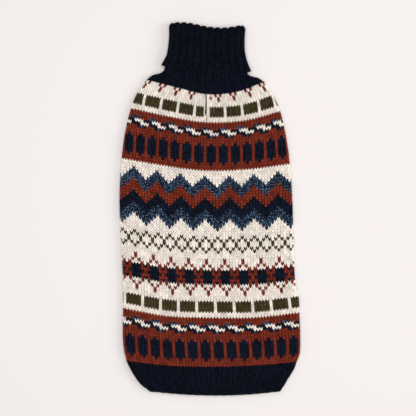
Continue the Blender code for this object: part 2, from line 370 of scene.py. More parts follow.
def row_heights(rows: Array, x: Array) -> Array:
    """Place up the sweater of each row at its own place across.

    Args:
        rows: The row of each point.
        x: Place across of each point.

    Returns:
        How far up the sweater each point lies.
    """
    middle = (rows[:, LEFT] + rows[:, RIGHT]) / 2
    half = (rows[:, RIGHT] - rows[:, LEFT]) / 2
    across = np.clip((x - middle) / half, -1.0, 1.0)
    straight = rows[:, LEFT_Y] + (rows[:, RIGHT_Y] - rows[:, LEFT_Y]) * (across + 1) / 2
    sags = (knot_shares(SAG_KNOTS, across)[:, 1:4] * rows[:, SAGS]).sum(axis=1)
    return straight - sags


def tube_points(rows: Array, way: Array, inset: Array | float = 0.0, advance: Array | float = 0.0) -> Array:
    """Points round a flattened tube.

    Args:
        rows: The row of each point.
        way: How far round each point lies from the left fold, over the top, or under it if negative.
        inset: How far each point lies inside the outline.
        advance: How far it is moved up the sweater.

    Returns:
        One point for each row.
    """
    radius = rows[:, HEIGHT] / 2
    flat = rows[:, RIGHT] - rows[:, LEFT] - rows[:, HEIGHT]
    quarter = math.pi * radius / 2
    half = flat + 2 * quarter
    turned = np.mod(way + half, 2 * half) - half
    run = np.abs(turned)
    left_turn = np.clip(run / radius, 0.0, math.pi / 2)
    right_turn = np.clip((run - quarter - flat) / radius, 0.0, math.pi / 2)
    reach = radius - inset
    x = (
        rows[:, LEFT] + radius - reach * np.cos(left_turn)
        + np.clip(run - quarter, 0.0, flat) + reach * np.sin(right_turn)
    )
    z = radius + np.where(turned < 0, -1, 1) * reach * np.sin(left_turn) * np.cos(right_turn)
    return np.column_stack((x, row_heights(rows, x) + advance, z))


class Outline:
    """Rows at a few places along a stretch of cloth, read smoothly between them."""

    def __init__(self, places: Sequence[float], rows: Sequence[Sequence[float]]) -> None:
        """Keep the rows.

        Args:
            places: Rising places of the rows.
            rows: The rows, each with any further values that vary along the cloth.
        """
        self.places = np.array(places, float)
        self.rows = np.array(rows, float)

    def at(self, place: Array) -> Array:
        """The rows at some places."""
        return knot_shares(self.places, place) @ self.rows


class Frames(NamedTuple):
    """Where stitches lie: their middles, one wale across, one course along, and straight out."""

    at: Array
    across: Array
    along: Array
    out: Array


class Knit:
    """A stretch of knitting. A subclass says where its courses and wales lie."""

    def lie(self, course: Array, wale: Array) -> Array:
        """Points of the smooth outer surface.

        Args:
            course: Course of each point.
            wale: Wale of each point.

        Returns:
            One point for each course and wale.
        """
        raise NotImplementedError

    def relief(self, course: Array, wale: Array, out: Array) -> Array:
        """How far the surface stands out from the smooth one."""
        return np.zeros(len(course))

    @staticmethod
    def measure(place: Callable[[Array, Array], Array], course: Array, wale: Array, width: float) -> Frames:
        """Frames of a surface, from the places half a stitch away on each side.

        Args:
            place: Gives points of the surface.
            course: Course of each stitch.
            wale: Wale of each stitch.
            width: How many wales apart the two sides are.

        Returns:
            One frame for each stitch.
        """
        across = place(course, wale + width / 2) - place(course, wale - width / 2)
        along = place(course + 0.5, wale) - place(course - 0.5, wale)
        out = np.cross(across, along)
        out /= lengths(out)
        return Frames(place(course, wale), across, along, out)

    def layer(self, course: Array, wale: Array, depth: float = 0.0, share: float = 1.0) -> Array:
        """Points of a layer of the cloth.

        Args:
            course: Course of each point.
            wale: Wale of each point.
            depth: How far the layer lies under the crests of the stitches.
            share: Share of the relief that the layer has.

        Returns:
            One point for each course and wale.
        """
        bare = self.measure(self.lie, course, wale, DIRECTION_SPAN)
        lift = self.relief(course, wale, bare.out) * share - depth
        return bare.at + bare.out * lift[:, None]

    def frames(self, course: Array, wale: Array, width: float = 1.0) -> Frames:
        """Frames of the stitches with their middles at some courses and wales."""
        return self.measure(self.layer, course, wale, width)


class BodyKnit(Knit):
    """The tube of the body, with wales counted over the top from the left fold."""

    def __init__(self) -> None:
        """Read the rows, with the wales at the two folds as two more values."""
        self.outline = Outline(
            [course for course, *_ in BODY_ROWS],
            [(*row, first, last) for _, row, first, last in BODY_ROWS],
        )
        self.slips = Outline([course for course, *_ in BODY_SLIPS], [slips for _, *slips in BODY_SLIPS])

    def pitch(self, rows: Array) -> Array:
        """Width of one wale on each row."""
        return half_round(rows) / (rows[:, LAST_WALE] - rows[:, FIRST_WALE])

    def lie(self, course: Array, wale: Array) -> Array:
        """Points of the smooth outer surface.

        Args:
            course: Course of each point.
            wale: Wale of each point.

        Returns:
            One point for each course and wale.
        """
        rows = self.outline.at(course)
        points = tube_points(rows, (wale - rows[:, FIRST_WALE]) * self.pitch(rows))
        across = np.clip((points[:, 0] - rows[:, LEFT]) / (rows[:, RIGHT] - rows[:, LEFT]) * 2 - 1, -1.0, 1.0)
        slips = (knot_shares(SLIP_KNOTS, across)[:, 1:5] * self.slips.at(course)).sum(axis=1)
        points[:, 0] += np.where(points[:, 2] > rows[:, HEIGHT] / 2, slips, 0.0) + self.opening(course, wale)
        return points

    @staticmethod
    def opening(course: Array, wale: Array) -> Array:
        """How far the slit moves a point to the right.

        Args:
            course: Course of each point.
            wale: Wale of each point.

        Returns:
            The way that each point is moved.
        """
        side = np.where(wale < SLIT_WALE, -0.5, 0.5)
        near = np.exp(-np.abs(wale - SLIT_WALE) / SLIT_SPREAD)
        width = SLIT_WIDTH * (1 - SLIT_CLOSING * smooth_step(*SLIT_TAPER, course))
        return (side * width - SLIT_SLIP) * near * smooth_step(SLIT_COURSE, SLIT_COURSE + SLIT_SPREAD, course)

    def seams(self, course: Array) -> tuple[Array, Array]:
        """The wales at which the two side seams run, on the underside.

        Args:
            course: The courses.

        Returns:
            The wale of the left seam and that of the right one, on each course.
        """
        rows = self.outline.at(course)
        quarter = math.pi * rows[:, HEIGHT] / 4
        reach = (quarter + SEAM_SHARE * (rows[:, RIGHT] - rows[:, LEFT] - rows[:, HEIGHT])) / self.pitch(rows)
        return rows[:, FIRST_WALE] - reach, rows[:, LAST_WALE] + reach

    def reach(self) -> tuple[int, int]:
        """The whole wales that reach past the two seams all the way up."""
        low, high = self.seams(np.arange(LAST_COURSE + 1.0))
        return math.floor(low.min()), math.ceil(high.max())

    def sides(self, wales: Sequence[float]) -> tuple[Array, Array]:
        """The right and the wrong side of the cloth, cut off at the seams.

        Args:
            wales: Wales at which the cloth has points, which reach past the seams.

        Returns:
            The points of each side, courses first.
        """
        courses = np.arange(LAST_COURSE + 1.0)
        low, high = (np.repeat(seam, len(wales)) for seam in self.seams(courses))
        course, wale = grid_of(courses, wales)
        wale = np.clip(wale, low, high)
        shape = (len(courses), len(wales), 3)
        face = self.layer(course, wale, SKIN_DEPTH).reshape(shape)
        lining = self.layer(course, wale, LINING_DEPTH).reshape(shape)
        return face, lining


class BellyKnit(BodyKnit):
    """The underside between the side seams, with wales counted from its middle."""

    def lie(self, course: Array, wale: Array) -> Array:
        """Points of the smooth outer surface."""
        rows = self.outline.at(course)
        return tube_points(rows, wale * self.pitch(rows) - half_round(rows) / 2)

    def seams(self, course: Array) -> tuple[Array, Array]:
        """The wales at which the two side seams run, counted from the belly's middle.

        Args:
            course: The courses.

        Returns:
            The wale of the left seam and that of the right one, on each course.
        """
        rows = self.outline.at(course)
        half = (0.5 - SEAM_SHARE) * (rows[:, RIGHT] - rows[:, LEFT] - rows[:, HEIGHT]) / self.pitch(rows)
        return -half, half


class Rib(Knit):
    """Two-by-two rib, with rib repeats counted round it instead of wales."""

    repeats: int  # all round

    def ring(self, course: float, depth: float, share: float = 1.0, turn: int = 1) -> Array:
        """Points of one course of a layer of the cloth, all round.

        Args:
            course: The course.
            depth: How far the layer lies under the crests of the stitches.
            share: Share of the relief that the layer has.
            turn: 1 to go round with the repeats, -1 to go round against them.

        Returns:
            The points, the first one again at the end.
        """
        places = turn * np.arange(self.repeats * RIB_FACETS + 1) / RIB_FACETS
        return self.layer(np.full(len(places), course), places, depth, share)


class RibKnit(Rib):
    """A tube of rib."""

    def __init__(self, outline: Outline, repeats: int, turn: int = 1) -> None:
        """Set up the rib.

        Args:
            outline: Its rows, each with an inset as its last value.
            repeats: Rib repeats all round.
            turn: 1 where courses run up the sweater, -1 where they run down it.
        """
        self.outline = outline
        self.repeats = repeats
        self.turn = turn

    def way(self, rows: Array, wale: Array) -> Array:
        """How far round the tube each rib repeat lies."""
        return self.turn * wale / self.repeats * 2 * half_round(rows)

    def lie(self, course: Array, wale: Array) -> Array:
        """Points of the smooth outer surface.

        Args:
            course: Course of each point.
            wale: Rib repeat of each point.

        Returns:
            One point for each course and repeat.
        """
        rows = self.outline.at(course)
        return tube_points(rows, self.way(rows, wale), rows[:, INSET])

    def relief(self, course: Array, wale: Array, out: Array) -> Array:
        """The ribs: they stand up on top, and rest on the floor underneath."""
        return RIB_RISE * (rib_wave(wale) - (1 - out[:, 2]) / 2)


class RollKnit(RibKnit):
    """The turned-down layer of the collar, with the top fold before its first course."""

    def lie(self, course: Array, wale: Array) -> Array:
        """Points of the smooth outer surface, over the fold and down the outside.

        Args:
            course: Course of each point, below 0 on the fold.
            wale: Rib repeat of each point.

        Returns:
            One point for each course and repeat.
        """
        rows = self.outline.at(np.maximum(course, 0.0))
        back = np.maximum(-course, 0.0) * RIB_COURSE
        turned = np.minimum(back / FOLD_RADIUS, math.pi)
        inset = FOLD_RADIUS * (1 - np.cos(turned))
        advance = FOLD_RADIUS * np.sin(turned) - np.maximum(back - math.pi * FOLD_RADIUS, 0.0)
        points = tube_points(rows, self.way(rows, wale), inset, advance)
        across = (points[:, 0] - rows[:, LEFT]) / (rows[:, RIGHT] - rows[:, LEFT]) * 2 - 1
        near = 1 - smooth_step(0.0, FOLD_CORNER_COURSES, course)
        points[:, 1] -= FOLD_CORNER * np.abs(across) ** FOLD_CORNER_POWER * near
        return points


def rib_wave(repeat: Array) -> Array:
    """Height of a rib across its repeat, from 0 in the valley to 1 on the two knit wales.

    Args:
        repeat: Places round the rib, in repeats.

    Returns:
        The height at each place.
    """
    rise, fall, next_rise = (smooth_step(*slope, np.mod(repeat, 1.0)) for slope in RIB_SLOPES)
    return rise * (1 - fall) + next_rise


@dataclass(frozen=True)
class LegOpening:
    """An oval leg opening in the belly, with the flat band round it."""

    side: str
    x: float
    y: float = 88.0
    width: float = 44.0  # clear of the band
    length: float = 58.0
    band: float = 10.0
    repeats: int = 11
    courses: int = 3

    @property
    def halves(self) -> tuple[float, float]:
        """Half the width and half the length, the band included."""
        return self.width / 2 + self.band, self.length / 2 + self.band

    def reach(self, points: Array) -> Array:
        """How far points are from the middle, 1 being the outside of the band."""
        wide, long = self.halves
        return np.hypot((points[..., 0] - self.x) / wide, (points[..., 1] - self.y) / long)


LEG_OPENINGS = (
    LegOpening("left", LEG_MIDDLE_X - LEG_FROM_MIDDLE), LegOpening("right", LEG_MIDDLE_X + LEG_FROM_MIDDLE)
)


class LegBandKnit(Rib):
    """The flat rib round a leg opening, with courses from the belly in to the opening."""

    def __init__(self, opening: LegOpening) -> None:
        """Keep the opening."""
        self.opening = opening
        self.repeats = opening.repeats

    def lie(self, course: Array, wale: Array) -> Array:
        """Points of the smooth outer surface, which lies on the floor.

        Args:
            course: Course of each point.
            wale: Rib repeat of each point.

        Returns:
            One point for each course and repeat.
        """
        hole = self.opening
        turn = -wale / self.repeats * 2 * math.pi
        reach = hole.band * (1 - course / hole.courses)
        x = hole.x + (hole.width / 2 + reach) * np.cos(turn)
        y = hole.y + (hole.length / 2 + reach) * np.sin(turn)
        return np.column_stack((x, y, np.zeros(len(x))))

    def relief(self, course: Array, wale: Array, out: Array) -> Array:
        """The ribs rest on the floor and the valleys between them are raised from it."""
        return RIB_RISE * (rib_wave(wale) - 1)


# ---------------------------------------------------------------- cloth


@dataclass
class Cloth:
    """A thin closed wall of cloth on a grid of courses and wales."""

    name: str
    face: Array  # points of the outer side: courses, wales, 3
    lining: Array  # points of the wrong side, in the same order
    tints: Array  # linear colour of each cell, painted shade included
    flecks: Array  # fleck of each cell
    kept: Array | None = None  # cells that are there, where not all are

    def build(self) -> bpy.types.Object:
        """Build the wall.

        Returns:
            The cloth, closed along every free edge.
        """
        rows, columns = self.face.shape[:2]
        both = np.concatenate((self.face, self.lining), axis=2).reshape(-1, 6)
        _, first, same = np.unique(both.round(3), axis=0, return_index=True, return_inverse=True)
        same = same.reshape(rows, columns)
        count = len(first)
        points = np.concatenate((both[first, :3], both[first, 3:]))
        faces, tints, flecks = [], [], []
        for row in range(rows - 1):
            for column in range(columns - 1):
                if self.kept is not None and not self.kept[row, column]:
                    continue
                loop = (
                    same[row, column], same[row, column + 1],
                    same[row + 1, column + 1], same[row + 1, column],
                )
                corners = tuple(int(corner) for k, corner in enumerate(loop) if corner != loop[k - 1])
                if len(set(corners)) < 3:
                    continue
                faces.append(corners)
                tints.append(self.tints[row, column])
                flecks.append(self.flecks[row, column])
        used = {
            (corners[k - 1], corners[k]): number
            for number, corners in enumerate(faces) for k in range(len(corners))
        }
        outer = len(faces)
        for number in range(outer):
            faces.append(tuple(corner + count for corner in reversed(faces[number])))
        for (start, end), number in used.items():
            if (end, start) not in used:
                faces.append((end, start, start + count, end + count))
                tints.append(tints[number])
                flecks.append(flecks[number])
        order = list(range(outer)) + list(range(outer)) + list(range(outer, len(tints)))
        # the wrong side gets painted shade; the outer side and the closing edges keep their colour
        shades = [LINING_PAINTED_SHADE if outer <= face < 2 * outer else 1.0 for face in range(len(order))]
        dyed = [tints[n] * shade for n, shade in zip(order, shades)]
        return coloured_mesh(self.name, points, faces, dyed, [flecks[n] for n in order])


def coloured_mesh(
    name: str, points: Array, faces: list[tuple[int, ...]], tints: list[Array], flecks: list[float]
) -> bpy.types.Object:
    """A mesh object whose faces carry the colour of their wool, painted shade included, and its fleck.

    Args:
        name: Name of the piece.
        points: Points in millimetres.
        faces: Corners of each face.
        tints: Colour of each face.
        flecks: Fleck of each face.

    Returns:
        The object, at the origin.
    """
    mesh = bpy.data.meshes.new(name)
    mesh.from_pydata((points * MM).tolist(), [], faces)
    sizes = [len(corners) for corners in faces]
    colour = mesh.attributes.new("yarn", "FLOAT_COLOR", "CORNER")
    colour.data.foreach_set("color", np.repeat(np.array(tints, float), sizes, axis=0).ravel())
    fleck = mesh.attributes.new("fleck", "FLOAT", "CORNER")
    fleck.data.foreach_set("value", np.repeat(np.array(flecks, float), sizes))
    mesh.shade_smooth()
    mesh.set_sharp_from_angle(angle=math.radians(SHARP_ANGLE))
    piece = bpy.data.objects.new(name, mesh)
    bpy.context.scene.collection.objects.link(piece)
    return piece


def grid_of(courses: Sequence[float], wales: Sequence[float]) -> tuple[Array, Array]:
    """Every pair of a course and a wale, courses first."""
    course, wale = np.meshgrid(np.array(courses, float), np.array(wales, float), indexing="ij")
    return course.ravel(), wale.ravel()


# ---------------------------------------------------------------- node trees


class Value:
    """A number in a node tree, which can be reckoned with in plain expressions."""

    def __init__(self, maker: "NodeMaker", socket: bpy.types.NodeSocket) -> None:
        """Wrap a socket."""
        self.maker = maker
        self.socket = socket

    def reckon(self, operation: str, *others: Any) -> "Value":
        """Add a Math node that reads this value first."""
        return self.maker.maths(operation, self, *others)

    def __add__(self, other: Any) -> "Value":
        """Sum."""
        return self.reckon("ADD", other)

    __radd__ = __add__

    def __sub__(self, other: Any) -> "Value":
        """Difference."""
        return self.reckon("SUBTRACT", other)

    def __rsub__(self, other: Any) -> "Value":
        """Difference from a number."""
        return self.maker.maths("SUBTRACT", other, self)

    def __mul__(self, other: Any) -> "Value":
        """Product."""
        return self.reckon("MULTIPLY", other)

    __rmul__ = __mul__

    def __pow__(self, other: Any) -> "Value":
        """Power."""
        return self.reckon("POWER", other)


class NodeMaker:
    """Adds nodes to a tree, sets their options and fills or links their sockets."""

    def __init__(self, tree: bpy.types.NodeTree) -> None:
        """Keep the tree."""
        self.tree = tree

    def add(
        self, kind: str, settings: dict[str, Any] | None = None, values: dict[Any, Any] | None = None
    ) -> bpy.types.Node:
        """Add a node.

        Args:
            kind: Type of the node.
            settings: Its options, which are set first.
            values: What its sockets hold or are linked to, by name or number.

        Returns:
            The node.
        """
        node = self.tree.nodes.new(kind)
        for name, setting in (settings or {}).items():
            setattr(node, name, setting)
        for key, value in (values or {}).items():
            self.fill(node.inputs[key], value)
        return node

    def fill(self, target: bpy.types.NodeSocket, value: Any) -> None:
        """Link a socket to another one, or set what it holds.

        Args:
            target: The socket.
            value: A value or socket to link, or what the socket holds.
        """
        if isinstance(value, Value):
            value = value.socket
        if isinstance(value, bpy.types.NodeSocket):
            self.tree.links.new(value, target)
        else:
            target.default_value = value

    def maths(self, operation: str, *parts: Any) -> Value:
        """Add a Math node on some values."""
        node = self.add("ShaderNodeMath", {"operation": operation}, dict(enumerate(parts)))
        return Value(self, node.outputs[0])

    def vectors(self, operation: str, *parts: Any) -> bpy.types.NodeSocket:
        """Add a Vector Math node on some vectors, where a scale goes in as the last part.

        Args:
            operation: What the node does.
            parts: What it reads.

        Returns:
            What it gives.
        """
        values = dict(enumerate(parts))
        if operation == "SCALE":
            values["Scale"] = values.pop(1)
        return self.add("ShaderNodeVectorMath", {"operation": operation}, values).outputs[0]

    def split(self, vector: Any) -> list[Value]:
        """The three parts of a vector."""
        node = self.add("ShaderNodeSeparateXYZ", None, {0: vector})
        return [Value(self, part) for part in node.outputs]


@dataclass(frozen=True)
class StitchForm:
    """Shape of one loop of wool, in shares of its wale and course and in units of its depth."""

    foot: tuple[float, float, float]
    foot_pull: tuple[float, float, float]
    head_pull: tuple[float, float, float]
    head: tuple[float, float, float]
    section: tuple[float, float, float] = (0.0, 0.6, 0.0)  # half of its section, across the strand
    rise: float = 0.34  # half of its section, straight out
    tip: float = 0.7  # share of the section that both ends have
    sides: int = 3
    steps: int = 4
    paired: bool = True  # two legs that make a V


KNIT_FORM = StitchForm((-0.02, -0.08, -0.36), (0.15, 0.28, -0.14), (0.38, 0.62, -0.22), (0.53, 1.06, -0.6))
BELLY_FORM = replace(KNIT_FORM, steps=3)
PURL_FORM = StitchForm(
    (-0.55, -0.1, -0.62), (-0.3, 0.3, -0.2), (0.3, 0.3, -0.2), (0.55, -0.1, -0.62),
    section=(0.0, 0.4, 0.0), rise=0.3, tip=0.4, sides=4, paired=False,
)
CHAIN_FORM = StitchForm(
    (0.04, -0.5, -0.5), (0.26, -0.2, -0.1), (0.42, 0.5, -0.1), (0.22, 0.9, -0.5),
    section=(-0.3, 0.05, 0.0), rise=0.3, tip=0.4, sides=4,
)
TACK_FORM = StitchForm(
    (0.0, -0.4, -0.5), (0.0, -0.2, 0.15), (0.0, 0.5, 0.15), (0.0, 0.8, -0.5),
    section=(-0.3, 0.0, 0.0), rise=0.3, tip=0.5, sides=6, steps=6, paired=False,
)


class StitchTree:
    """The Geometry Nodes that set one stitch on each point of a mesh."""

    SIZES: tuple[tuple[str, str], ...] = (
        ("Foot", "NodeSocketVector"), ("Foot pull", "NodeSocketVector"),
        ("Head pull", "NodeSocketVector"), ("Head", "NodeSocketVector"),
        ("Section", "NodeSocketVector"), ("Rise", "NodeSocketFloat"), ("Tip", "NodeSocketFloat"),
        ("Sides", "NodeSocketInt"), ("Steps", "NodeSocketInt"), ("Paired", "NodeSocketBool"),
        ("Uneven", "NodeSocketFloat"), ("Seed", "NodeSocketInt"),
        ("Grid", "NodeSocketVector"), ("Wool", "NodeSocketMaterial"),
    )
    FLOOR = (-9.0, -9.0, 0.0)  # a stitch that would sink into the floor rests on it
    STRAND_BOX = ((-0.65, -0.65, -2.0), (0.65, 1.5, 2.0))  # ends of the place along a stitch
    CELL_BOX = ((0.08, 0.08, 0.0), (0.92, 0.92, 1.0))  # where they lie in its cell of the map

    def __init__(self) -> None:
        """Build the tree."""
        self.tree = bpy.data.node_groups.new("stitches", "GeometryNodeTree")
        face = self.tree.interface
        face.new_socket("Geometry", in_out="INPUT", socket_type="NodeSocketGeometry")
        face.new_socket("Geometry", in_out="OUTPUT", socket_type="NodeSocketGeometry")
        self.keys = {
            name: face.new_socket(name, in_out="INPUT", socket_type=kind).identifier
            for name, kind in self.SIZES
        }
        self.make = NodeMaker(self.tree)
        self.given = self.make.add("NodeGroupInput").outputs
        self.finish(self.set_out(self.stitch()))

    def read(self, name: str) -> bpy.types.NodeSocket:
        """Read a vector that the points carry."""
        node = self.make.add("GeometryNodeInputNamedAttribute", {"data_type": "FLOAT_VECTOR"}, {"Name": name})
        return node.outputs["Attribute"]

    def store(self, geometry: Any, name: str, value: Any, kind: str, domain: str) -> bpy.types.NodeSocket:
        """Store a value under a name.

        Args:
            geometry: The mesh.
            name: The name.
            value: The value.
            kind: Its type.
            domain: Whether points or corners carry it.

        Returns:
            The mesh with the value.
        """
        return self.make.add(
            "GeometryNodeStoreNamedAttribute", {"data_type": kind, "domain": domain},
            {"Geometry": geometry, "Name": name, "Value": value},
        ).outputs[0]

    def stitch(self) -> bpy.types.NodeSocket:
        """One stitch at the origin, with the place along it kept as "strand".

        Returns:
            The mesh of the stitch.
        """
        make, given = self.make, self.given
        rod = make.add(
            "GeometryNodeMeshCylinder", {"fill_type": "NGON"},
            {"Vertices": given["Sides"], "Side Segments": given["Steps"], "Radius": 1.0, "Depth": 1.0},
        ).outputs["Mesh"]
        here = make.add("GeometryNodeInputPosition").outputs[0]
        front, side, far = make.split(here)
        along = far + 0.5
        left = 0.5 - far
        tip = Value(make, given["Tip"])
        girth = tip + (1.0 - tip) * (along * left * 4.0) ** 0.5
        parts = (
            (given["Foot"], left * left * left), (given["Foot pull"], along * left * left * 3.0),
            (given["Head pull"], along * along * left * 3.0), (given["Head"], along * along * along),
            (given["Section"], side * girth * -1.0), ((0.0, 0.0, 1.0), front * girth * given["Rise"]),
        )
        place = make.vectors("SCALE", *parts[0])
        for vector, share in parts[1:]:
            place = make.vectors("ADD", place, make.vectors("SCALE", vector, share))
        leg = make.add("GeometryNodeSetPosition", None, {"Geometry": rod, "Position": place}).outputs[0]
        turned = make.add("GeometryNodeTransform", None, {"Geometry": leg, "Scale": (-1.0, 1.0, 1.0)})
        other = make.add("GeometryNodeFlipFaces", None, {"Mesh": turned.outputs[0]}).outputs[0]
        pair = make.add("GeometryNodeJoinGeometry", None, {0: leg})
        make.fill(pair.inputs[0], other)
        chosen = make.add(
            "GeometryNodeSwitch", {"input_type": "GEOMETRY"},
            {"Switch": given["Paired"], "False": leg, "True": pair.outputs[0]},
        ).outputs[0]
        return self.store(chosen, "strand", here, "FLOAT_VECTOR", "POINT")

    def set_out(self, stitch: bpy.types.NodeSocket) -> bpy.types.NodeSocket:
        """Set the stitch on each point and stretch it to the cell that the point carries.

        Args:
            stitch: The mesh of one stitch.

        Returns:
            The mesh of all stitches.
        """
        make, given = self.make, self.given
        stray = make.add(
            "FunctionNodeRandomValue", {"data_type": "FLOAT_VECTOR"},
            {0: (-1.0, -1.0, -1.0), 1: (1.0, 1.0, 0.0), "Seed": given["Seed"]},
        ).outputs[0]
        strayed = make.vectors("SCALE", stray, given["Uneven"])
        points = self.store(given["Geometry"], "stray", strayed, "FLOAT_VECTOR", "POINT")
        placed = make.add("GeometryNodeInstanceOnPoints", None, {"Points": points, "Instance": stitch})
        real = make.add("GeometryNodeRealizeInstances", None, {0: placed.outputs[0]}).outputs[0]
        strand = self.read("strand")
        place = make.vectors("SCALE", strand, -1.0)
        parts = make.split(make.vectors("ADD", strand, self.read("stray")))
        for name, part in zip(("across", "along", "out"), parts):
            place = make.vectors("ADD", place, make.vectors("SCALE", self.read(name), part))
        laid = make.add("GeometryNodeSetPosition", None, {"Geometry": real, "Offset": place}).outputs[0]
        rested = make.vectors("MAXIMUM", make.add("GeometryNodeInputPosition").outputs[0], self.FLOOR)
        return make.add("GeometryNodeSetPosition", None, {"Geometry": laid, "Position": rested}).outputs[0]

    def finish(self, stitches: bpy.types.NodeSocket) -> None:
        """Lay each stitch out in its own cell of a map, and dress it in its wool.

        Args:
            stitches: The mesh of all stitches.
        """
        make, given = self.make, self.given
        inside = make.add(
            "ShaderNodeMapRange", {"data_type": "FLOAT_VECTOR", "clamp": True},
            {"Vector": self.read("strand"), **dict(enumerate((*self.STRAND_BOX, *self.CELL_BOX), 7))},
        ).outputs["Vector"]
        cell = make.vectors("DIVIDE", make.vectors("ADD", self.read("cell"), inside), given["Grid"])
        mapped = self.store(stitches, "OFBake", cell, "FLOAT2", "CORNER")
        smooth = make.add("GeometryNodeSetShadeSmooth", None, {"Geometry": mapped}).outputs[0]
        dressed = make.add("GeometryNodeSetMaterial", None, {"Geometry": smooth, "Material": given["Wool"]})
        make.add("NodeGroupOutput", None, {0: dressed.outputs[0]})

    def run(self, name: str, points: bpy.types.Mesh, values: dict[str, Any]) -> bpy.types.Object:
        """Make the stitches of one piece.

        Args:
            name: Name of the piece.
            points: Mesh of one point for each stitch, with what it carries.
            values: Value of each named input.

        Returns:
            The piece, as a plain mesh.
        """
        holder = bpy.data.objects.new(name + "_points", points)
        bpy.context.scene.collection.objects.link(holder)
        modifier = holder.modifiers.new("stitches", "NODES")
        modifier.node_group = self.tree
        for key, value in values.items():
            modifier[self.keys[key]] = value
        graph = bpy.context.evaluated_depsgraph_get()
        mesh = bpy.data.meshes.new_from_object(
            holder.evaluated_get(graph), preserve_all_data_layers=True, depsgraph=graph
        )
        bpy.data.objects.remove(holder)
        mesh.name = name
        for used in ("across", "along", "out", "cell", "stray"):
            mesh.attributes.remove(mesh.attributes[used])
        piece = bpy.data.objects.new(name, mesh)
        bpy.context.scene.collection.objects.link(piece)
        return piece


@dataclass
class Stitches:
    """The stitches of one piece, gathered before they are made."""

    name: str
    form: StitchForm
    seed: int
    uneven: float = 0.03
    # painted shade of the whole piece, such as that of the purl wales or the chain
    shade: float = 1.0
    frames: list[Frames] = field(default_factory=list)
    yarns: list[Yarn] = field(default_factory=list)

    def lay(self, frames: Frames, yarns: Sequence[Yarn]) -> None:
        """Add stitches with the wool of each."""
        self.frames.append(frames)
        self.yarns.extend(yarns)

    def make(self, tree: StitchTree, wool: bpy.types.Material) -> bpy.types.Object:
        """Make the piece.

        Args:
            tree: The nodes that make it.
            wool: Its material.

        Returns:
            The piece.
        """
        at, across, along, out = (np.concatenate(parts) for parts in zip(*self.frames))
        count = len(at)
        side = math.ceil(math.sqrt(count))
        cells = np.column_stack((np.arange(count) % side, np.arange(count) // side, np.zeros(count)))
        draws = np.random.RandomState(self.seed)
        uneven = np.array([yarn.value.uneven for yarn in self.yarns])
        # each stitch's random tone, times the painted shade of its piece
        shades = (1.0 + draws.normal(0.0, 1.0, count).clip(*UNEVEN_LIMITS) * uneven) * self.shade
        tints = np.array([yarn.value.linear(shade) for yarn, shade in zip(self.yarns, shades)])
        points = bpy.data.meshes.new(self.name)
        points.from_pydata((at * MM).tolist(), [], [])
        flecks = np.array([yarn.value.fleck for yarn in self.yarns])
        for name, kind, key, values in (
            ("across", "FLOAT_VECTOR", "vector", across * MM),
            ("along", "FLOAT_VECTOR", "vector", along * MM),
            ("out", "FLOAT_VECTOR", "vector", out * STITCH_DEPTH * MM),
            ("cell", "FLOAT_VECTOR", "vector", cells),
            ("yarn", "FLOAT_COLOR", "color", tints), ("fleck", "FLOAT", "value", flecks),
        ):
            points.attributes.new(name, kind, "POINT").data.foreach_set(key, values.ravel())
        sizes = {name.replace("_", " ").capitalize(): size for name, size in asdict(self.form).items()}
        return tree.run(self.name, points, {
            **sizes, "Uneven": self.uneven, "Seed": self.seed,
            "Grid": (float(side), float(side), 1.0), "Wool": wool,
        })


# ---------------------------------------------------------------- finishes


@dataclass(frozen=True)
class Finish:
    """A material that is built from nodes."""

    name: str

    def dress(self, make: NodeMaker) -> dict[str, Any]:
        """What the shader's sockets hold or are linked to."""
        raise NotImplementedError

    def build(self) -> bpy.types.Material:
        """Build the material.

        Returns:
            The material.
        """
        material = bpy.data.materials.new(self.name)
        material.use_nodes = True
        material.node_tree.nodes.clear()
        make = NodeMaker(material.node_tree)
        shader = make.add("ShaderNodeBsdfPrincipled", None, self.dress(make))
        make.add("ShaderNodeOutputMaterial", None, {"Surface": shader.outputs[0]})
        return material


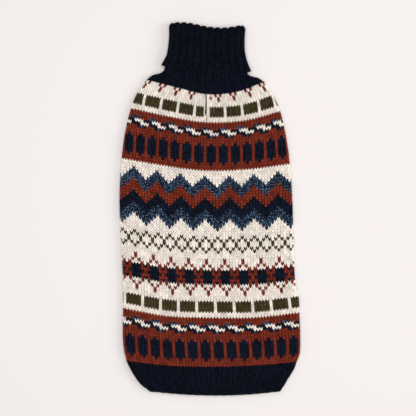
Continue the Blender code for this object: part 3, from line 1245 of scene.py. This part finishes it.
@dataclass(frozen=True)
class WoolFinish(Finish):
    """Spun wool: its dye and fleck come from the piece, its plies and fibres from noise, and painted shade
    and highlight from how deep a point lies in its stitch and how near the groove beside it.
    """

    name: str = "spun_wool"
    fleck_colour: Dye = Dye(112, 142, 178)
    cloud_scale: float = 180.0
    fleck_scale: float = 640.0
    fibre_scale: float = 2600.0
    fleck_ramp: tuple[float, float] = (0.52, 0.62)
    depths: tuple[float, float] = (-0.4, 0.12)  # from deep between stitches to their crests
    # painted shade deep between stitches, rising to a painted highlight on their crests
    depth_shades: tuple[float, float] = (0.2, 1.4)
    sides: tuple[float, float] = (0.26, 0.56)  # from the middle of a leg to the groove beside it
    # painted shade in the groove beside each leg
    side_shades: tuple[float, float] = (1.0, 0.45)
    paleness: float = 0.75  # how much of the painted shade between stitches a pale wool loses
    twist: tuple[float, float] = (30.0, 22.0)  # turns of the plies across and along a stitch
    ply_height: float = 0.35
    bump: float = 0.35
    bump_height: float = 0.0004
    mean_shade: float = 0.82  # apart from what the clouds and fibres add
    cloud_shade: float = 0.2
    fibre_shade: float = 0.16
    noise_roughness: float = 0.6
    roughness: float = 0.92
    sheen: float = 0.005
    sheen_roughness: float = 0.5
    gloss: float = 0.06

    def noise(self, make: NodeMaker, scale: float, detail: float) -> Value:
        """Noise over the piece.

        Args:
            make: Adds the nodes.
            scale: How fine the noise is.
            detail: How many finer layers it has.

        Returns:
            The noise.
        """
        place = make.add("ShaderNodeTexCoord").outputs["Object"]
        values = {"Vector": place, "Scale": scale, "Detail": detail, "Roughness": self.noise_roughness}
        return Value(make, make.add("ShaderNodeTexNoise", None, values).outputs["Fac"])

    @staticmethod
    def ramp(
        make: NodeMaker, value: Value, ends: tuple[float, float], to: tuple[float, float] = (0.0, 1.0),
        course: str = "LINEAR",
    ) -> Value:
        """Turn one range of a value into another.

        Args:
            make: Adds the node.
            value: The value.
            ends: Ends of its range.
            to: What they become.
            course: How it runs between them.

        Returns:
            The new value.
        """
        values = {"Value": value, "From Min": ends[0], "From Max": ends[1], "To Min": to[0], "To Max": to[1]}
        settings = {"clamp": True, "interpolation_type": course}
        return Value(make, make.add("ShaderNodeMapRange", settings, values).outputs["Result"])

    def dress(self, make: NodeMaker) -> dict[str, Any]:
        """What the shader's sockets hold or are linked to.

        Args:
            make: Adds the nodes.

        Returns:
            The value or link of each socket.
        """
        # the yarn colour already holds the painted shade of its piece
        yarn = make.add("ShaderNodeAttribute", {"attribute_name": "yarn"}).outputs["Color"]
        fleck = Value(make, make.add("ShaderNodeAttribute", {"attribute_name": "fleck"}).outputs["Fac"])
        strand = make.add("ShaderNodeAttribute", {"attribute_name": "strand"}).outputs["Vector"]
        across, along, out = make.split(strand)
        cloudy = self.noise(make, self.cloud_scale, 2.0)
        fibres = self.noise(make, self.fibre_scale, 3.0)
        speck = self.ramp(make, self.noise(make, self.fleck_scale, 1.0), self.fleck_ramp) * fleck
        dyed = make.add(
            "ShaderNodeMix", {"data_type": "RGBA"}, {0: speck, 6: yarn, 7: self.fleck_colour.linear()}
        ).outputs[2]
        # Painted shade and highlight: darker deep between stitches and in the grooves beside the legs,
        # lighter on the crests, and less of both on pale wools.
        groove_shade = self.ramp(make, across.reckon("ABSOLUTE"), self.sides, self.side_shades, "SMOOTHSTEP")
        height = self.ramp(make, out, self.depths, self.depth_shades) * groove_shade
        pale = Value(make, make.add("ShaderNodeRGBToBW", None, {0: yarn}).outputs[0]) * self.paleness
        spun = self.mean_shade + cloudy * self.cloud_shade + fibres * self.fibre_shade
        shade = spun * (height + (1.0 - height) * pale)
        ply = (along * self.twist[1] + across * self.twist[0]).reckon("SINE")
        bump = make.add("ShaderNodeBump", None, {
            "Strength": self.bump, "Distance": self.bump_height, "Height": fibres + ply * self.ply_height,
        }).outputs[0]
        return {
            "Base Color": make.vectors("SCALE", dyed, shade), "Roughness": self.roughness,
            "Sheen Weight": self.sheen, "Sheen Roughness": self.sheen_roughness,
            "Specular IOR Level": self.gloss, "Normal": bump,
        }


@dataclass(frozen=True)
class FloorFinish(Finish):
    """A plain pale floor."""

    name: str = "pale_floor"
    colour: Dye = Dye(213, 208, 207)
    roughness: float = 0.9

    def dress(self, make: NodeMaker) -> dict[str, Any]:
        """What the shader's sockets hold."""
        return {"Base Color": self.colour.linear(), "Roughness": self.roughness, "Specular IOR Level": 0.0}


# ---------------------------------------------------------------- pieces


class Workshop:
    """What every piece shares: its wools and the stitch nodes."""

    def __init__(self) -> None:
        """Build the finishes and the stitch nodes."""
        self.wool = WoolFinish().build()
        self.stitches = StitchTree()

    def knit(self, stitches: Stitches, slot: str) -> bpy.types.Object:
        """Make the stitches of one piece and let them ride on the sweater.

        Args:
            stitches: The stitches.
            slot: Not used.

        Returns:
            The piece.
        """
        piece = stitches.make(self.stitches, self.wool)
        self.settle(piece)
        return piece

    def lay_cloth(self, cloth: Cloth, slot: str, node: str) -> bpy.types.Object:
        """Build a cloth in the place of a node of the frame.

        Args:
            cloth: The cloth.
            slot: Not used.
            node: The node.

        Returns:
            The piece.
        """
        piece = cloth.build()
        piece.data.materials.append(self.wool)
        self.settle(piece)
        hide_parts(node)
        return piece

    def settle(self, piece: bpy.types.Object) -> None:
        """Let a piece ride on the sweater, and log it.

        Args:
            piece: The piece.
        """
        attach(piece, BODY)
        log.info("%s: %d faces", piece.name, len(piece.data.polygons))


def cell_tints(yarns: Sequence[Sequence[Yarn]]) -> tuple[Array, Array]:
    """Colour and fleck of each cell of a cloth, darkened with painted shade for the gaps between stitches.

    Args:
        yarns: Wool of each cell, course by course.

    Returns:
        The colours and the flecks.
    """
    tints = np.array([[yarn.value.linear(CLOTH_PAINTED_SHADE) for yarn in line] for line in yarns])
    flecks = np.array([[yarn.value.fleck * CLOTH_FLECK for yarn in line] for line in yarns])
    return tints, flecks


def surface_area(points: Array) -> float:
    """Area of a grid of points.

    Args:
        points: The points in millimetres.

    Returns:
        The area in square metres.
    """
    down = points[1:, :-1] - points[:-1, :-1]
    over = points[:-1, 1:] - points[:-1, :-1]
    return float(lengths(np.cross(down, over)).sum()) * MM * MM


@dataclass
class BackPanel:
    """The patterned back, which turns under at both side folds and is slit for the leash."""

    shop: Workshop
    knit: BodyKnit = field(default_factory=BodyKnit)
    parts: tuple[tuple[str, int, int], ...] = (("lower", 0, 36), ("middle", 36, 70), ("upper", 70, 100))
    past_seam: float = 0.1  # how far a stitch may pass the seam, in wales
    stitch_width: float = 0.98
    tack_lift: float = 0.6
    seed: int = 10
    tack_seed: int = 31

    def cloth(self) -> Cloth:
        """Lay out the cloth, with two edges along the slit.

        Returns:
            The cloth.
        """
        first, last = self.knit.reach()
        edges = (SLIT_WALE - SLIT_NUDGE, SLIT_WALE + SLIT_NUDGE)
        face, lining = self.knit.sides([*range(first, SLIT_WALE), *edges, *range(SLIT_WALE + 1, last + 1)])
        slit = SLIT_WALE - first
        for points in (face, lining):
            points[:SLIT_COURSE + 1, slit + 1] = points[:SLIT_COURSE + 1, slit]
        kept = np.ones((face.shape[0] - 1, face.shape[1] - 1), bool)
        kept[:, slit] = False
        wales = [*range(first, SLIT_WALE), SLIT_WALE - 1, *range(SLIT_WALE, last)]
        tints, flecks = cell_tints([[back_chart(c, w) for w in wales] for c in range(LAST_COURSE)])
        return Cloth("back_cloth", face, lining, tints, flecks, kept)

    def stitch_part(self, name: str, start: int, end: int, seed: int) -> Stitches:
        """Gather the stitches of some courses.

        Args:
            name: Name of the part.
            start: Its first course.
            end: The course after its last one.
            seed: Seed of its unevenness.

        Returns:
            The stitches.
        """
        stitches = Stitches(f"back_knit_{name}", KNIT_FORM, seed)
        for number in range(start, end):
            low, high = self.knit.seams(np.array([number + 0.5]))
            wales = np.arange(math.ceil(low[0] - self.past_seam), math.floor(high[0] + self.past_seam))
            frames = self.knit.frames(np.full(len(wales), float(number)), wales + 0.5, self.stitch_width)
            stitches.lay(frames, [back_chart(number, int(wale)) for wale in wales])
        return stitches

    def build(self) -> None:
        """Build the back."""
        cloth = self.cloth()
        piece = self.shop.lay_cloth(cloth, "back_wool", "back_panel")
        knit = [
            self.shop.knit(self.stitch_part(*part, self.seed + number), "back_wool")
            for number, part in enumerate(self.parts)
        ]
        tack = self.bar_tack()
        surface_area(cloth.face)

    def bar_tack(self) -> bpy.types.Object:
        """Sew the tan tack across the foot of the slit.

        Returns:
            The tack.
        """
        stitches = Stitches("slit_tack", TACK_FORM, self.tack_seed, uneven=0.0)
        frames = self.knit.frames(np.array([SLIT_COURSE - 1.0]), np.array([float(SLIT_WALE)]))
        stitches.lay(frames._replace(at=frames.at + frames.out * self.tack_lift), [Yarn.TAN])
        return self.shop.knit(stitches, "back_wool")


@dataclass
class BellyPanel:
    """The plain belly between the side seams, with its two leg openings."""

    shop: Workshop
    knit: BellyKnit = field(default_factory=BellyKnit)
    before_seam: float = 0.3  # how far a stitch stays from the seam, in wales
    leg_reach: float = 1.02  # how near a stitch comes to a leg opening's middle
    seed: int = 21

    def cloth(self) -> Cloth:
        """Lay out the cloth and cut the leg openings out of it.

        Returns:
            The cloth.
        """
        first, last = self.knit.reach()
        face, lining = self.knit.sides(range(first, last + 1))
        kept = np.ones((face.shape[0] - 1, face.shape[1] - 1), bool)
        middles = (face[1:, 1:] + face[:-1, :-1]) / 2
        for hole in LEG_OPENINGS:
            kept &= hole.reach(middles) > 1.0
            for points in (face, lining):
                reach = hole.reach(points)
                inside = (reach < 1.0) & (reach > 0.5)
                centre = np.array((hole.x, hole.y))
                points[inside, :2] = centre + (points[inside, :2] - centre) / reach[inside, None]
        tints, flecks = cell_tints([[belly_chart(c)] * (last - first) for c in range(LAST_COURSE)])
        return Cloth("belly_cloth", face, lining, tints, flecks, kept)

    def stitches(self) -> Stitches:
        """Gather the stitches of the belly.

        Returns:
            The stitches.
        """
        stitches = Stitches("belly_knit", BELLY_FORM, self.seed)
        for number in range(LAST_COURSE):
            low, high = self.knit.seams(np.array([number + 0.5]))
            start, end = math.ceil(low[0] + self.before_seam), math.floor(high[0] - self.before_seam)
            wales = np.arange(start, end + 1) - 0.5
            frames = self.knit.frames(np.full(len(wales), float(number)), wales)
            middles = frames.at + frames.along / 2
            clear = np.all([hole.reach(middles) > self.leg_reach for hole in LEG_OPENINGS], axis=0)
            chosen = Frames(*(part[clear] for part in frames))
            stitches.lay(chosen, [belly_chart(number)] * int(clear.sum()))
        return stitches

    def build(self) -> None:
        """Build the belly."""
        cloth = self.cloth()
        piece = self.shop.lay_cloth(cloth, "belly_wool", "belly_panel")
        knit = self.shop.knit(self.stitches(), "belly_wool")
        holes = sum(math.pi * math.prod(hole.halves) * MM * MM for hole in LEG_OPENINGS)
        surface_area(cloth.face) - holes


class RibStitches:
    """The knit stitches, the purl stitches and the chain edge of one ribbed piece."""

    LINKS = 4  # links of the chain to one rib repeat

    def __init__(self, knit: str, purl: str, chain: str, seed: int) -> None:
        """Start with no stitches.

        Args:
            knit: Name of the knit stitches.
            purl: Name of the purl stitches.
            chain: Name of the chain.
            seed: Seed of the knit stitches, from which the others count on.
        """
        self.ribs = Stitches(knit, KNIT_FORM, seed)
        self.purls = Stitches(purl, PURL_FORM, seed + 1, shade=PURL_PAINTED_SHADE)
        self.chain = Stitches(chain, CHAIN_FORM, seed + 2, shade=CHAIN_PAINTED_SHADE)

    def lay(self, rib: Rib, courses: Sequence[float], length: float = 1.0) -> None:
        """Lay the knit wales and the purl wales of a rib.

        Args:
            rib: Where the rib lies.
            courses: Course of each round of stitches.
            length: Length of each stitch, which is less where the rib turns sharply.
        """
        kinds = ((RIB_WALES, RIB_WALE, self.ribs), ((PURL_MIDDLE,), PURL_WALE, self.purls))
        for middles, width, stitches in kinds:
            for middle in middles:
                course, wale = grid_of(courses, np.arange(rib.repeats) + middle)
                frames = rib.frames(course, wale, width)
                stitches.lay(frames._replace(along=frames.along * length), [Yarn.RIB] * len(course))

    def lay_edge(self, rib: Rib, course: float) -> None:
        """Lay the chain along the edge of a rib.

        Args:
            rib: Where the rib lies.
            course: Course of its edge.
        """
        count = rib.repeats * self.LINKS
        places = (np.arange(count) + 0.5) / self.LINKS
        frames = rib.frames(np.full(count, course), places, 1 / self.LINKS)
        scale = lengths(frames.across) / lengths(frames.along)
        turned = Frames(frames.at, -frames.along * scale, frames.across, frames.out)
        self.chain.lay(turned, [Yarn.RIB] * count)

    def make(self, shop: Workshop) -> list[bpy.types.Object]:
        """Make the three pieces."""
        return [shop.knit(part, "rib_wool") for part in (self.ribs, self.purls, self.chain)]


Path = list[tuple[Array, Array]]


def rib_path(rib: Rib, courses: Sequence[float]) -> Path:
    """Points of the right and the wrong side of a rib, course by course."""
    return [(rib.ring(c, SKIN_DEPTH), rib.ring(c, LINING_DEPTH, LINING_RELIEF)) for c in courses]


def rib_cloth(name: str, path: Path) -> Cloth:
    """A ribbed cloth.

    Args:
        name: Its name.
        path: Points of its right and its wrong side, course by course.

    Returns:
        The cloth.
    """
    face = np.array([right for right, _ in path])
    lining = np.array([wrong for _, wrong in path])
    tints, flecks = cell_tints([[Yarn.RIB] * (face.shape[1] - 1)] * (len(path) - 1))
    return Cloth(name, face, lining, tints, flecks)


@dataclass
class HemRib:
    """The drawn-in hem."""

    shop: Workshop
    repeats: int = 30
    courses: int = 11
    seed: int = 41

    def build(self) -> None:
        """Build the hem."""
        outline = Outline([course for course, _ in HEM_ROWS], [(*row, 0.0) for _, row in HEM_ROWS])
        knit = RibKnit(outline, self.repeats)
        cloth = rib_cloth("hem_cloth", rib_path(knit, np.arange(self.courses + 1.0)))
        piece = self.shop.lay_cloth(cloth, "rib_wool", "hem_rib")
        stitches = RibStitches("hem_knit", "hem_purl", "hem_cast_on", self.seed)
        stitches.lay(knit, np.arange(self.courses))
        stitches.lay_edge(knit, 0.0)
        min(surface_area(cloth.face), 0.52 * 0.043)
        stitches.make(self.shop)


@dataclass
class RollCollar:
    """The flared yoke, the stand inside, and the layer turned down over both."""

    shop: Workshop
    repeats: int = 24
    yoke_courses: int = 11  # courses of stitches, the last ones hidden under the roll
    roll_courses: int = 16
    roll_start: float = 0.3  # how far the stitches below the fold are shifted down, in courses
    fold_start: float = -3.6  # where the stitches over the fold begin and end, in courses of the roll
    fold_end: float = 1.2
    fold_stitch: float = 0.6  # height of a stitch over the fold, in courses
    stand_foot: float = 3.0  # courses of the roll by which the stand's foot lies above the roll's edge
    stand_top: float = 0.5
    yoke_rings: int = 10  # rings of points in the cloth of the yoke, the stand, the fold and the roll
    stand_rings: int = 5
    fold_rings: int = 7
    roll_rings: int = 17
    seed: int = 51

    def build(self) -> None:
        """Build the collar."""
        yoke = RibKnit(
            Outline([course for course, _, _ in YOKE_ROWS], [(*row, inset) for _, row, inset in YOKE_ROWS]),
            self.repeats,
        )
        roll = RollKnit(
            Outline([course for course, _ in ROLL_ROWS], [row for _, row in ROLL_ROWS]), self.repeats, -1
        )
        cloth = self.cloth(yoke, roll)
        piece = self.shop.lay_cloth(cloth, "rib_wool", "roll_collar")
        stitches = RibStitches("collar_knit", "collar_purl", "collar_bind_off", self.seed)
        stitches.lay(yoke, np.arange(self.yoke_courses))
        stitches.lay(roll, np.arange(1, self.roll_courses + 1) + self.roll_start)
        stitches.lay(roll, np.arange(self.fold_start, self.fold_end, self.fold_stitch), self.fold_stitch)
        stitches.lay_edge(roll, ROLL_EDGE)
        surface_area(cloth.face)
        stitches.make(self.shop)

    def cloth(self, yoke: RibKnit, roll: RollKnit) -> Cloth:
        """Lay out the cloth: up the yoke and the stand, over the fold and down the outside.

        Args:
            yoke: Where the yoke lies.
            roll: Where the turned-down layer lies, and the stand inside it.

        Returns:
            The cloth.
        """
        path = rib_path(yoke, np.linspace(0.0, YOKE_ROWS[-1][0], self.yoke_rings))
        right, wrong = 2 * FOLD_RADIUS - LINING_DEPTH, 2 * FOLD_RADIUS - SKIN_DEPTH
        for course in np.linspace(ROLL_EDGE - self.stand_foot, self.stand_top, self.stand_rings):
            path.append((roll.ring(course, right, 0.0, -1), roll.ring(course, wrong, 0.0, -1)))
        over_fold = np.linspace(-FOLD_COURSES, 0.0, self.fold_rings)
        for course in (*over_fold, *np.linspace(1.0, ROLL_EDGE, self.roll_rings)):
            path.append((roll.ring(course, LINING_DEPTH, 0.0, -1), roll.ring(course, SKIN_DEPTH, 1.0, -1)))
        return rib_cloth("collar_cloth", path)


@dataclass
class LegBand:
    """The rib round one leg opening."""

    shop: Workshop
    opening: LegOpening
    seed: int = 61

    def build(self) -> None:
        """Build the band."""
        side, courses = self.opening.side, self.opening.courses
        knit = LegBandKnit(self.opening)
        cloth = rib_cloth(f"leg_cloth_{side}", rib_path(knit, np.arange(courses + 1.0)))
        piece = self.shop.lay_cloth(cloth, "rib_wool", f"leg_band_{side}")
        stitches = RibStitches(f"leg_knit_{side}", f"leg_purl_{side}", f"leg_bind_off_{side}", self.seed)
        stitches.lay(knit, np.arange(courses))
        stitches.lay_edge(knit, float(courses))
        stitches.make(self.shop)


class Lamp(NamedTuple):
    """A soft lamp that looks at the sweater: its place and size in metres and its power in watts."""

    name: str
    place: tuple[float, float, float]
    size: float
    power: float


@dataclass
class Studio:
    """The floor, the light and the camera of the photograph."""

    centre_x: float = -2.825
    centre_y: float = 1.55
    view_width: float = 624.0  # what the camera sees across, at the height of the cloth
    cloth_height: float = 9.0
    lens: float = 85.0
    sensor: float = 36.0
    floor_size: float = 6.0  # in metres
    lamps: tuple[Lamp, ...] = (
        Lamp("overhead", (-0.1, 0.05, 2.1), 1.8, 40.0), Lamp("side", (3.2, 0.0, 2.0), 2.0, 62.0),
    )
    room_colour: tuple[float, float, float, float] = (1.0, 0.985, 0.97, 1.0)
    room_light: float = 0.46

    def build(self) -> None:
        """Build the studio."""
        bpy.ops.mesh.primitive_plane_add(size=self.floor_size)
        floor = bpy.context.object
        floor.name = "floor"
        floor.data.materials.append(FloorFinish().build())
        for lamp in self.lamps:
            self.light(lamp)
        world = bpy.data.worlds.new("soft_room")
        world.use_nodes = True
        sockets = world.node_tree.nodes["Background"].inputs
        sockets["Color"].default_value = self.room_colour
        sockets["Strength"].default_value = self.room_light
        bpy.context.scene.world = world
        bpy.context.scene.view_settings.view_transform = "Standard"
        self.camera()

    def light(self, lamp: Lamp) -> None:
        """Hang a lamp.

        Args:
            lamp: The lamp.
        """
        glow = bpy.data.lights.new(lamp.name, "AREA")
        glow.size = lamp.size
        glow.energy = lamp.power
        holder = bpy.data.objects.new(lamp.name, glow)
        bpy.context.scene.collection.objects.link(holder)
        holder.location = lamp.place
        holder.rotation_euler = (-holder.location).to_track_quat("-Z", "Y").to_euler()

    def camera(self) -> None:
        """Hang the camera straight above the sweater."""
        lens = bpy.data.cameras.new("camera")
        lens.lens = self.lens
        lens.sensor_width = self.sensor
        holder = bpy.data.objects.new("camera", lens)
        bpy.context.scene.collection.objects.link(holder)
        distance = self.view_width * self.lens / self.sensor
        holder.location = (self.centre_x * MM, self.centre_y * MM, (self.cloth_height + distance) * MM)
        bpy.context.scene.camera = holder


def main() -> None:
    """Build the sweater piece by piece."""
    logging.basicConfig(level=logging.INFO, format="%(message)s")
    Studio().build()
    shop = Workshop()
    BellyPanel(shop).build()
    BackPanel(shop).build()
    HemRib(shop).build()
    RollCollar(shop).build()
    for opening in LEG_OPENINGS:
        LegBand(shop, opening).build()


if __name__ == "__main__":
    main()
